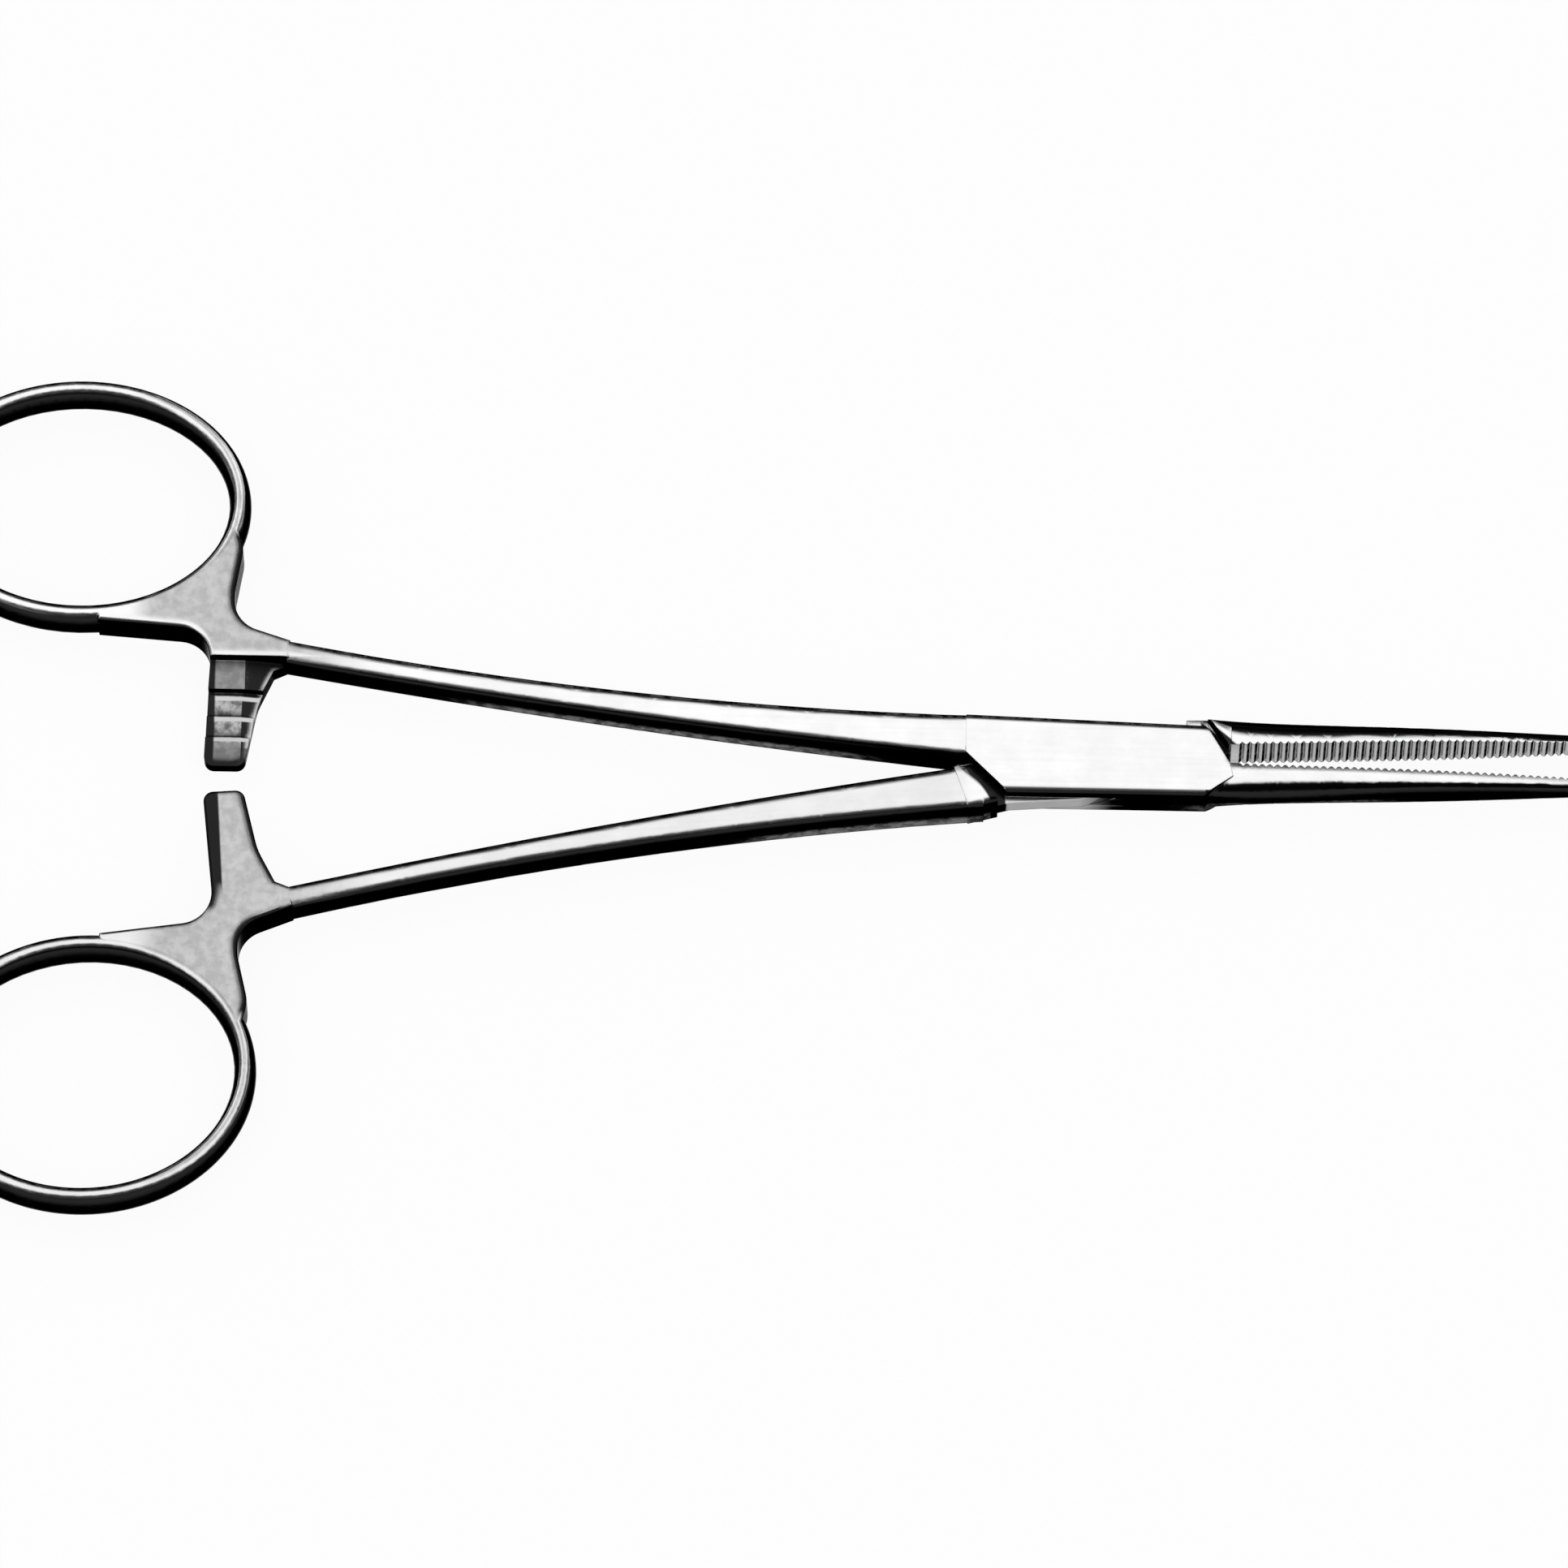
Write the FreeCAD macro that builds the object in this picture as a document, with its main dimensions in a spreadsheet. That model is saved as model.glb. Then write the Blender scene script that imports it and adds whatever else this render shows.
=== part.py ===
import FreeCAD
import Part
import Sketcher
import math
import os

# Straight haemostatic forceps with finger rings, a ratchet and a box lock.
# Each half is drawn in the closed position, with its long axis along X and the pivot at the origin,
# and is then turned about the pivot by half of the opening at rest. The underside of the box is at Z 0.

SIZES = [
    ("box_thickness", 5.7, "box lock, top face to underside"),
    ("box_half_width", 3.4, "box lock, pivot to its side"),
    ("box_flare", 0.7, "how much wider the box is where the shank leaves it"),
    ("box_round", 0.9, "rounding along the box"),
    ("rear_step_inner", 12.4, "rear step of the lock, at the middle of the forceps"),
    ("rear_step_outer", 8.6, "rear step of the lock, at the side of the box"),
    ("front_step_outer", 9.4, "front step of the lock, at the side of the box"),
    ("front_step_inner", 11.7, "front step of the lock, at the jaw faces"),
    ("rear_step_gap", 1.1, "gap along X at the rear step when closed"),
    ("front_step_gap", 0.55, "gap along X at the front step when closed"),
    ("tongue_thickness", 2.0, "tongue that passes through the slot"),
    ("tongue_half_width", 2.9, "tongue, its centreline to its edge"),
    ("tongue_side_drop", 0.5, "how far the tongue's front side is inside the box's side"),
    ("tongue_angle", 12.2, "tongue to the long axis when closed, degrees"),
    ("slot_clearance", 0.06, "gap between the tongue and each wall of the slot"),
    ("full_opening", 60.0, "angle between the halves when fully open, degrees"),
    ("opening_margin", 0.5, "angle that the slot is wider than it needs, degrees"),
    ("rest_opening", 4.2, "angle between the halves at rest, degrees"),
    ("pin_diameter", 2.2, "riveted pivot pin"),
    ("pin_clearance", 0.03, "radial gap between the pin and the tongue"),
    ("shank_start", 11.0, "shank, pivot to its root inside the box"),
    ("shank_overlap", 1.7, "how far the shank runs past the centreline of the ring limb"),
    ("shank_start_offset", 1.95, "shank centreline to the long axis at its root"),
    ("shank_end_offset", 10.35, "shank centreline to the long axis at its end"),
    ("shank_bow", 1.15, "how far the shank bows towards the long axis"),
    ("shank_start_width", 4.15, "shank in plan at its root"),
    ("shank_end_width", 2.2, "shank in plan at its end"),
    ("shank_waist", 0.8, "how much slimmer the shank is at its middle"),
    ("shank_start_drop", 0.03, "how far the shank's root is below the box faces"),
    ("shank_end_thickness", 4.7, "shank thickness at its end"),
    ("shank_hollow", 0.35, "how much thinner the shank is at its middle"),
    ("shank_start_round", 1.0, "corner radius of the shank at its root"),
    ("shank_end_round", 0.95, "corner radius of the shank at its end"),
    ("ring_centre", 93.8, "finger ring, pivot to its centre along the long axis"),
    ("ring_inner_offset", 12.6, "ring limb centreline nearest the long axis"),
    ("ring_length", 29.0, "ring centreline, along the forceps"),
    ("ring_height_female", 22.0, "ring centreline across the forceps, box half"),
    ("ring_height_male", 24.2, "ring centreline across the forceps, tongue half"),
    ("ring_limb_width", 2.0, "ring limb in plan"),
    ("ring_limb_thickness", 4.9, "ring limb along the pivot axis"),
    ("web_thickness", 4.8, "flat web between ring, shank and ratchet bar"),
    ("web_sweep", 3.0, "inside corners of the web, beside the ring"),
    ("web_edge_round", 0.45, "rounding along the edges of the web"),
    ("web_reach", 11.0, "how far the web follows the ring from the bar's side"),
    ("bar_setback", 2.7, "ratchet bar's outer edge, behind the ring limb nearest the lock"),
    ("bar_width", 4.3, "ratchet bar near its middle"),
    ("bar_taper", 0.6, "how much narrower the bar is at its end"),
    ("bar_end_round", 0.9, "corners at the end of the bar"),
    ("bar_lead", 0.45, "how far the bar's end slopes away from its crest"),
    ("bar_slope_start", 3.4, "bar's outer edge to the line where its inner part slopes away"),
    ("bar_slope", 12.0, "slope of the bar's inner part, degrees"),
    ("bar_tip", 1.25, "how far the bar reaches past the long axis when closed"),
    ("bar_gap", 0.06, "gap from the tooth crests to the middle plane"),
    ("shelf_start", 5.7, "where the shelf behind the teeth starts"),
    ("shelf_end", 8.5, "where the shelf behind the teeth ends"),
    ("shelf_height", 1.05, "shelf above the tooth crests"),
    ("bar_cut_reach", 2.6, "how far the cuts in the bar run past its inner edge"),
    ("tooth_pitch", 2.0, "ratchet tooth pitch"),
    ("tooth_depth", 0.9, "ratchet tooth depth"),
    ("tooth_count", 2, "notches behind the end of the bar"),
    ("bar_end_land", 2.65, "plain end of the bar before the first tooth"),
    ("jaw_root", 8.0, "jaw, pivot to its root inside the box"),
    ("jaw_heel", 14.0, "jaw, pivot to the start of its taper"),
    ("jaw_tip", 49.1, "jaw, pivot to its tip"),
    ("jaw_root_width", 2.95, "jaw in plan at its root"),
    ("jaw_heel_width", 2.75, "jaw in plan at the start of its taper"),
    ("jaw_tip_width", 0.8, "jaw in plan at its tip"),
    ("jaw_waist", 0.1, "how much slimmer the jaw is at its middle"),
    ("jaw_root_drop", 0.03, "how far the jaw's root is below the box faces"),
    ("jaw_heel_thickness", 5.1, "jaw thickness at the start of its taper"),
    ("jaw_tip_round", 1.25, "radius of the rounded tip, half its thickness"),
    ("jaw_swell", 0.95, "how much thicker the jaw is at its middle"),
    ("jaw_root_round", 1.0, "corner radius of the jaw's back at its root"),
    ("jaw_heel_round", 2.2, "corner radius of the jaw's back at the start of its taper"),
    ("jaw_tip_corner", 0.62, "corner radius of the jaw's back at its tip"),
    ("jaw_heel_gap", 0.95, "gap between the jaw faces at the lock when closed"),
    ("jaw_tip_gap", 0.1, "gap between the jaw faces at the tips when closed"),
    ("jaw_line_heel", 0.15, "middle of the closed jaws at the lock"),
    ("jaw_line_tip", -0.88, "middle of the closed jaws at the tips"),
    ("serration_pitch", 0.7, "distance between the grooves across the jaw faces"),
    ("serration_width", 0.52, "width of a groove"),
    ("serration_depth", 0.24, "depth of a groove"),
    ("serration_start", 12.9, "pivot to the first groove"),
]

SHANK_STATIONS = 6
JAW_STATIONS = 4
CUT_MARGIN = 3.0
FIRST_ROUND = 0.2

doc = FreeCAD.newDocument("Forceps")
sheet = doc.addObject("Spreadsheet::Sheet", "Sizes")
for row, (alias, value, meaning) in enumerate(SIZES, start=1):
    sheet.set(f"A{row}", meaning)
    sheet.set(f"B{row}", str(value))
    sheet.setAlias(f"B{row}", alias)
doc.recompute()


def size(alias):
    """The number in one named cell."""
    return float(getattr(sheet, alias))


def cell(alias):
    """One named cell, as it is written in an expression."""
    return f"Sizes.{alias}"


MIDDLE = f"{cell('box_thickness')} / 2"
TONGUE_EDGE = f"{cell('tongue_half_width')} / cos({cell('tongue_angle')} * 1 deg)"
TONGUE_SLOPE = f"tan({cell('tongue_angle')} * 1 deg)"
REAR_CORNER = f"({TONGUE_EDGE} - {cell('rear_step_inner')} * {TONGUE_SLOPE})"
FRONT_CORNER = f"({cell('front_step_inner')} * {TONGUE_SLOPE} - {TONGUE_EDGE})"
SIDE_CROSSING = f"(({cell('box_half_width')} - {TONGUE_EDGE}) / {TONGUE_SLOPE})"
RING_NEAR = f"({cell('ring_centre')} - {cell('ring_length')} / 2)"
SHANK_END = f"({RING_NEAR} + {cell('shank_overlap')})"
BAR_OUTER = f"({RING_NEAR} + {cell('bar_setback')})"
BAR_INNER = f"({BAR_OUTER} - {cell('bar_width')})"


def origin_plane(body, role):
    """One of the body's own origin planes."""
    return next(part for part in body.Origin.OriginFeatures if part.Role == role)


def new_sketch(body, name, role, distance="0"):
    """A sketch on an origin plane of the body, moved along its normal by the distance."""
    sketch = body.newObject("Sketcher::SketchObject", name)
    sketch.AttachmentSupport = [(origin_plane(body, role), "")]
    sketch.MapMode = "FlatFace"
    sketch.setExpression("AttachmentOffset.Base.z", distance)
    return sketch


def bind(sketch, constraint, formula):
    """Add a constraint whose value follows a formula of the named sizes."""
    index = sketch.addConstraint(constraint)
    sketch.setExpression(f"Constraints[{index}]", formula)


def pin_point(sketch, piece, end, place_x, place_y, guess):
    """Hold one point of a sketch at a place given by two formulas."""
    bind(sketch, Sketcher.Constraint("DistanceX", -1, 1, piece, end, guess.x), place_x)
    bind(sketch, Sketcher.Constraint("DistanceY", -1, 1, piece, end, guess.y), place_y)


def polygon(sketch, corners, rounds=()):
    """A closed outline through corners given as pairs of formulas. rounds names corners and their radii."""
    count = len(corners)
    guesses = [
        FreeCAD.Vector(10 * math.cos(2 * math.pi * i / count), 10 * math.sin(2 * math.pi * i / count), 0)
        for i in range(count)
    ]
    for i in range(count):
        sketch.addGeometry(Part.LineSegment(guesses[i], guesses[(i + 1) % count]), False)
    for i in range(count):
        sketch.addConstraint(Sketcher.Constraint("Coincident", i, 2, (i + 1) % count, 1))
    for i, (place_x, place_y) in enumerate(corners):
        pin_point(sketch, i, 1, place_x, place_y, guesses[i])
    if not rounds:
        return
    doc.recompute()
    for corner, radius in rounds:
        sketch.fillet(corner, 1, FIRST_ROUND, True, True, False)
        arc = max(i for i, piece in enumerate(sketch.Geometry) if isinstance(piece, Part.ArcOfCircle))
        bind(sketch, Sketcher.Constraint("Radius", arc, FIRST_ROUND), radius)


def bar_section(sketch, left, bottom, width, height, radius, square_side=None):
    """A rounded bar section. square_side names the side, left or right, that stays flat for a jaw face."""
    low = FreeCAD.Vector(-1.5, -2.5, 0)
    high = FreeCAD.Vector(1.5, 2.5, 0)
    curve = 0.7
    centres = {
        "low_right": (high.x - curve, low.y + curve, -90),
        "high_right": (high.x - curve, high.y - curve, 0),
        "high_left": (low.x + curve, high.y - curve, 90),
        "low_left": (low.x + curve, low.y + curve, 180),
    }
    order = ["low", "low_right", "right", "high_right", "high", "high_left", "left", "low_left"]
    if square_side == "left":
        order = [part for part in order if part not in ("high_left", "low_left")]
    if square_side == "right":
        order = [part for part in order if part not in ("high_right", "low_right")]
    left_in = low.x if square_side == "left" else low.x + curve
    right_in = high.x if square_side == "right" else high.x - curve
    low_left = low.y if square_side == "left" else low.y + curve
    low_right = low.y if square_side == "right" else low.y + curve
    lines = {
        "low": ((left_in, low.y), (right_in, low.y)),
        "right": ((high.x, low_right), (high.x, -low_right)),
        "high": ((right_in, high.y), (left_in, high.y)),
        "left": ((low.x, -low_left), (low.x, low_left)),
    }
    number = {}
    for part in order:
        if part in lines:
            start, end = (FreeCAD.Vector(x, y, 0) for x, y in lines[part])
            number[part] = sketch.addGeometry(Part.LineSegment(start, end), False)
        else:
            x, y, angle = centres[part]
            circle = Part.Circle(FreeCAD.Vector(x, y, 0), FreeCAD.Vector(0, 0, 1), curve)
            arc = Part.ArcOfCircle(circle, math.radians(angle), math.radians(angle + 90))
            number[part] = sketch.addGeometry(arc, False)
    arcs = [part for part in order if part in centres]
    for part, following in zip(order, order[1:] + order[:1]):
        kind = "Tangent" if part in arcs or following in arcs else "Coincident"
        sketch.addConstraint(Sketcher.Constraint(kind, number[part], 2, number[following], 1))
    for part in ("low", "high"):
        sketch.addConstraint(Sketcher.Constraint("Horizontal", number[part]))
    for part in ("left", "right"):
        sketch.addConstraint(Sketcher.Constraint("Vertical", number[part]))
    for part in arcs[1:]:
        sketch.addConstraint(Sketcher.Constraint("Equal", number[arcs[0]], number[part]))
    bind(sketch, Sketcher.Constraint("Radius", number[arcs[0]], curve), radius)
    bind(sketch, Sketcher.Constraint("DistanceX", -1, 1, number["left"], 1, low.x), left)
    bind(sketch, Sketcher.Constraint("DistanceY", -1, 1, number["low"], 1, low.y), bottom)
    bind(
        sketch,
        Sketcher.Constraint("DistanceX", number["left"], 1, number["right"], 1, high.x - low.x),
        width,
    )
    bind(
        sketch,
        Sketcher.Constraint("DistanceY", number["low"], 1, number["high"], 1, high.y - low.y),
        height,
    )


def ellipse(sketch, centre_x, centre_y, width, height, upright):
    """A full ellipse. upright says that its long axis runs along the sketch's Y."""
    long_half = 2.0
    short_half = 1.0
    centre = FreeCAD.Vector(5, 5, 0)
    long_axis = FreeCAD.Vector(0, long_half, 0) if upright else FreeCAD.Vector(long_half, 0, 0)
    short_axis = FreeCAD.Vector(-short_half, 0, 0) if upright else FreeCAD.Vector(0, short_half, 0)
    curve = sketch.addGeometry(Part.Ellipse(centre + long_axis, centre + short_axis, centre), False)
    sketch.exposeInternalGeometry(curve)
    major = curve + 1
    minor = curve + 2
    sketch.addConstraint(Sketcher.Constraint("Vertical" if upright else "Horizontal", major))
    bind(sketch, Sketcher.Constraint("Distance", major, 2 * long_half), height if upright else width)
    bind(sketch, Sketcher.Constraint("Distance", minor, 2 * short_half), width if upright else height)
    pin_point(sketch, curve, 3, centre_x, centre_y, centre)


def pad(body, name, sketch, length, both_ways=True, reverse=False):
    """Raise a sketch into the body."""
    feature = body.newObject("PartDesign::Pad", name)
    feature.Profile = sketch
    feature.setExpression("Length", length)
    feature.Midplane = both_ways
    feature.Reversed = reverse
    return feature


def pocket(body, name, sketch, length, both_ways=False, upwards=False):
    """Cut a sketch out of the body, and make sure that something was cut."""
    doc.recompute()
    before = body.Shape.Volume
    feature = body.newObject("PartDesign::Pocket", name)
    feature.Profile = sketch
    feature.setExpression("Length", length)
    feature.Midplane = both_ways
    feature.Reversed = upwards
    doc.recompute()
    if not before - body.Shape.Volume > 1e-4:
        raise RuntimeError(f"{body.Label}: {name} cut nothing")
    return feature


def loft(body, name, sections):
    """A smooth form through a row of sections."""
    feature = body.newObject("PartDesign::AdditiveLoft", name)
    feature.Profile = sections[0]
    feature.Sections = sections[1:]
    feature.Ruled = False
    return feature


def round_edges(body, name, radius, chosen):
    """Fillet the edges of the body's last feature that the test picks out."""
    doc.recompute()
    base = body.Tip
    picked = [f"Edge{i}" for i, edge in enumerate(base.Shape.Edges, start=1) if chosen(edge)]
    if not picked:
        raise RuntimeError(f"{body.Label}: {name} found no edge")
    feature = body.newObject("PartDesign::Fillet", name)
    feature.Base = (base, picked)
    feature.setExpression("Radius", radius)
    return feature


def blend(start, end, share, swell="0"):
    """A formula that runs from start to end and swells by an amount at its middle."""
    return f"({start} + ({end} - {start}) * {share} + 4 * {swell} * {share} * {1 - share})"


def signed_span(side, inner, width):
    """The left edge of a section whose inner side is at side times inner."""
    return inner if side > 0 else f"-({inner} + {width})"


def shank(body, side):
    """Slender bar from the box to the finger ring."""
    sections = []
    for i in range(SHANK_STATIONS):
        share = i / (SHANK_STATIONS - 1)
        along = blend(cell("shank_start"), SHANK_END, share)
        centre = blend(
            cell("shank_start_offset"), cell("shank_end_offset"), share, f"-{cell('shank_bow')}"
        )
        width = blend(
            cell("shank_start_width"), cell("shank_end_width"), share, f"-{cell('shank_waist')}"
        )
        root_thickness = f"({cell('box_thickness')} - {cell('shank_start_drop')})"
        thickness = blend(root_thickness, cell("shank_end_thickness"), share, f"-{cell('shank_hollow')}")
        radius = blend(cell("shank_start_round"), cell("shank_end_round"), share)
        sketch = new_sketch(body, f"ShankSection{i + 1}", "YZ_Plane", f"-{along}")
        inner = f"({centre} - {width} / 2)"
        bar_section(
            sketch, signed_span(side, inner, width), f"{MIDDLE} - {thickness} / 2", width, thickness, radius
        )
        sections.append(sketch)
    loft(body, "Shank", sections)


def finger_ring(body, side, height):
    """Oval ring of elliptical section, swept along its centreline."""
    centre_y = f"{side} * ({cell('ring_inner_offset')} + {height} / 2)"
    path = new_sketch(body, "RingPath", "XY_Plane", MIDDLE)
    ellipse(path, f"-{cell('ring_centre')}", centre_y, cell("ring_length"), height, upright=False)
    profile = new_sketch(body, "RingProfile", "XZ_Plane", f"-({centre_y})")
    nearest = f"{cell('ring_length')} / 2 - {cell('ring_centre')}"
    ellipse(profile, nearest, MIDDLE, cell("ring_limb_width"), cell("ring_limb_thickness"), upright=True)
    doc.recompute()
    ring = body.newObject("PartDesign::AdditivePipe", "FingerRing")
    ring.Profile = profile
    ring.Spine = (path, ["Edge1"])


def ratchet_web(body, side, height):
    """Flat web that joins ring and shank, with the ratchet bar that hangs from it."""
    ring_low = cell("ring_inner_offset")
    shank_end = cell("shank_end_offset")
    tip = f"-{cell('bar_tip')}"
    outer = f"-{BAR_OUTER}"
    inner = f"-{BAR_INNER}"
    corners = [
        (f"{outer} + 0.5 - {cell('web_reach')}", f"{ring_low} + 1.2"),
        (f"{outer} + 0.5 - {cell('web_reach')} * 0.95", f"{ring_low} - 0.75"),
        (f"{outer} + 0.5", f"{ring_low} - 1.5"),
        (outer, tip),
        (f"{inner} - {cell('bar_taper')}", tip),
        (f"{inner} + 0.45", f"({shank_end} + {tip}) / 2"),
        (f"{inner} + 1.9", f"{shank_end} - 2.6"),
        (f"{inner} + 3.4", f"{shank_end} - 1.9"),
        (f"{inner} + 3.4", f"{shank_end} - 0.2"),
        (f"{inner} - 1.8", f"{shank_end} + 1.5"),
        (f"{inner} - 1.8", f"{ring_low} + 2.2"),
        (f"{inner} - 1.1", f"{ring_low} + 6.5"),
        (f"{inner} - 2.3", f"{ring_low} + 10.5"),
    ]
    sweep = cell("web_sweep")
    end_round = cell("bar_end_round")
    rounds = [(2, sweep), (3, end_round), (4, end_round), (5, f"2 * {sweep}"), (9, sweep), (10, sweep), (11, sweep)]
    sketch = new_sketch(body, "WebOutline", "XY_Plane", MIDDLE)
    polygon(sketch, [(x, f"{side} * ({y})") for x, y in corners], rounds)
    pad(body, "RatchetWeb", sketch, cell("web_thickness"))
    opening = new_sketch(body, "WebOpening", "XY_Plane", MIDDLE)
    centre_y = f"{side} * ({ring_low} + {height} / 2)"
    ellipse(opening, f"-{cell('ring_centre')}", centre_y, cell("ring_length"), height, upright=False)
    pocket(body, "WebOpeningCut", opening, f"{cell('web_thickness')} * 2", both_ways=True)
    round_edges(body, "WebRounding", cell("web_edge_round"), flat_edge_of_web)


def flat_edge_of_web(edge):
    """Edge along the top face or underside of the web, other than beside the ring's opening."""
    box = edge.BoundBox
    outline = edge.Curve.TypeId in ("Part::GeomLine", "Part::GeomCircle")
    return outline and box.ZLength < 0.01 and box.XMax < -size("ring_centre") / 2


def ratchet_teeth(body, side):
    """The bar is cut to half thickness, with a shelf behind, and its teeth are cut in the flat that is left."""
    left = f"-({BAR_OUTER} + 0.6)"
    right = f"-({BAR_INNER} - {cell('bar_cut_reach')})"
    tip = f"-({cell('bar_tip')} + {CUT_MARGIN})"
    first = f"({cell('bar_end_land')} - {cell('bar_tip')})"
    crest = f"{MIDDLE} - {side} * {cell('bar_gap')}"
    valley = f"{crest} - {side} * {cell('tooth_depth')}"
    shelf = f"{crest} + {side} * {cell('shelf_height')}"
    outside = f"{MIDDLE} + {side} * {cell('box_thickness')}"
    upwards = side > 0

    for name, level, low, high in (
        ("BarFlat", crest, tip, cell("shelf_start")),
        ("BarShelf", shelf, cell("shelf_start"), cell("shelf_end")),
    ):
        sketch = new_sketch(body, name, "XY_Plane", level)
        corners = [(left, low), (right, low), (right, high), (left, high)]
        polygon(sketch, [(x, f"{side} * ({y})") for x, y in corners])
        pocket(body, f"{name}Cut", sketch, cell("box_thickness"), upwards=upwards)

    lead = new_sketch(body, "BarLead", "YZ_Plane", f"({left} + {right}) / 2")
    lead_slope = f"{cell('bar_lead')} / {cell('bar_end_land')}"
    lead_low = f"{crest} - {side} * {lead_slope} * ({first} - ({tip}))"
    corners = [(first, crest), (tip, lead_low), (tip, outside)]
    polygon(lead, [(f"{side} * ({y})", z) for y, z in corners])
    pocket(body, "BarLeadCut", lead, f"{right} - {left}", both_ways=True)

    notch = new_sketch(body, "ToothNotch", "YZ_Plane", f"({left} + {right}) / 2")
    corners = [(first, crest), (first, valley), (f"{first} + {cell('tooth_pitch')}", crest)]
    polygon(notch, [(f"{side} * ({y})", z) for y, z in corners])
    cut = pocket(body, "ToothNotchCut", notch, f"{right} - {left}", both_ways=True)
    teeth = body.newObject("PartDesign::LinearPattern", "Teeth")
    teeth.Originals = [cut]
    teeth.Direction = (notch, ["H_Axis"])
    teeth.Reversed = side < 0
    teeth.setExpression("Length", f"{cell('tooth_pitch')} * ({cell('tooth_count')} - 1)")
    teeth.setExpression("Occurrences", cell("tooth_count"))
    body.Tip = teeth

    sloped_teeth(body, side, first, tip, lead_slope)


def sloped_teeth(body, side, first, tip, lead_slope):
    """The same row of teeth and shelf again, sloping away on the inner part of the bar."""
    pitch = cell("tooth_pitch")
    depth = cell("tooth_depth")
    lead_low = f"-{lead_slope} * ({first} - ({tip}))"
    outside = cell("box_thickness")
    corners = [(tip, outside), (tip, lead_low), (first, "0")]
    for i in range(int(size("tooth_count"))):
        corners.append((f"{first} + {i} * {pitch}", f"-{depth}"))
        corners.append((f"{first} + {i + 1} * {pitch}", "0"))
    corners += [
        (cell("shelf_start"), "0"),
        (cell("shelf_start"), cell("shelf_height")),
        (cell("shelf_end"), cell("shelf_height")),
        (cell("shelf_end"), outside),
    ]
    row = new_sketch(body, "SlopedRow", "YZ_Plane", f"-({BAR_OUTER} - {cell('bar_slope_start')})")
    row.setExpression("AttachmentOffset.Base.y", f"{MIDDLE} - {side} * {cell('bar_gap')}")
    row.AttachmentOffset = FreeCAD.Placement(
        row.AttachmentOffset.Base, FreeCAD.Rotation(FreeCAD.Vector(1, 0, 0), side)
    )
    row.setExpression("AttachmentOffset.Rotation.Angle", f"{side} * {cell('bar_slope')}")
    polygon(row, [(f"{side} * ({y})", f"{side} * ({z})") for y, z in corners])
    reach = f"{cell('bar_width')} + {cell('bar_cut_reach')} - {cell('bar_slope_start')}"
    pocket(body, "SlopedRowCut", row, reach, upwards=True)


def jaw_face(side, along):
    """Formula for the closed jaw's face, across the forceps, at a distance from the pivot."""
    share = f"(({along} - {cell('front_step_inner')}) / ({cell('jaw_tip')} - {cell('front_step_inner')}))"
    line = f"({cell('jaw_line_heel')} + ({cell('jaw_line_tip')} - {cell('jaw_line_heel')}) * {share})"
    gap = f"({cell('jaw_heel_gap')} + ({cell('jaw_tip_gap')} - {cell('jaw_heel_gap')}) * {share})"
    return f"({line} - {side} * {gap} / 2)"


def jaw_section(body, side, name, along, width, thickness, radius):
    """One section of the jaw, flat on the side of the face."""
    sketch = new_sketch(body, name, "YZ_Plane", along)
    face = jaw_face(side, along)
    left = f"{face} - {width}" if side > 0 else face
    flat_side = "right" if side > 0 else "left"
    bar_section(sketch, left, f"{MIDDLE} - {thickness} / 2", width, thickness, radius, flat_side)
    return sketch


def jaw(body, side):
    """Tapering jaw with a flat face, a rounded back and a rounded tip."""
    root_thickness = f"({cell('box_thickness')} - {cell('jaw_root_drop')})"
    end = f"({cell('jaw_tip')} - {cell('jaw_tip_round')})"
    end_thickness = f"(2 * {cell('jaw_tip_round')})"
    sections = [
        jaw_section(
            body, side, "JawRootSection", cell("jaw_root"), cell("jaw_root_width"), root_thickness,
            cell("jaw_root_round"),
        )
    ]
    for i in range(JAW_STATIONS):
        share = i / (JAW_STATIONS - 1)
        along = blend(cell("jaw_heel"), end, share)
        width = blend(cell("jaw_heel_width"), cell("jaw_tip_width"), share, f"-{cell('jaw_waist')}")
        thickness = blend(cell("jaw_heel_thickness"), end_thickness, share, cell("jaw_swell"))
        radius = blend(cell("jaw_heel_round"), cell("jaw_tip_corner"), share)
        sections.append(
            jaw_section(body, side, f"JawSection{i + 1}", along, width, thickness, radius)
        )
    loft(body, "Jaw", sections)
    tip_section = jaw_section(
        body, side, "JawTipSection", end, cell("jaw_tip_width"), end_thickness, cell("jaw_tip_corner")
    )
    pad(body, "JawTip", tip_section, cell("jaw_tip_round"), both_ways=False)


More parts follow.
